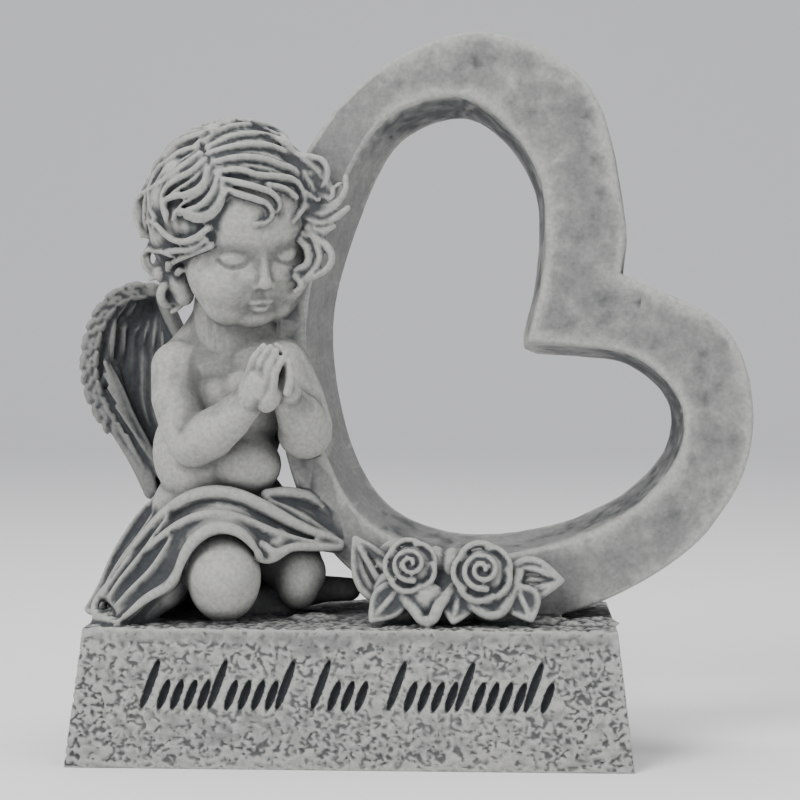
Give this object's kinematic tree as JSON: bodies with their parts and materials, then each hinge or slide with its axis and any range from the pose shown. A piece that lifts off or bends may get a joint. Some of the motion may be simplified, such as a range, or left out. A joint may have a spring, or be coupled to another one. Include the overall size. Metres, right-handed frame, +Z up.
{
  "type": "kneeling angel memorial statue",
  "caption": "Small cast memorial statue: kneeling winged cherub beside an open heart and roses on a battered plinth.",
  "frame": {"origin": "centre of the plinth's underside", "axes": "+Z up, -Y towards the front of the plinth, +X to the right of someone facing the front"},
  "size_m": [0.1732, 0.0612, 0.1791],
  "materials": {
    "cast_stone": "grey artificial stone, matt, dark wash in the recesses and dry-brushed light edges"
  },
  "bodies": {
    "root": {"angel_statue": "cast_stone"}
  },
  "joints": []
}
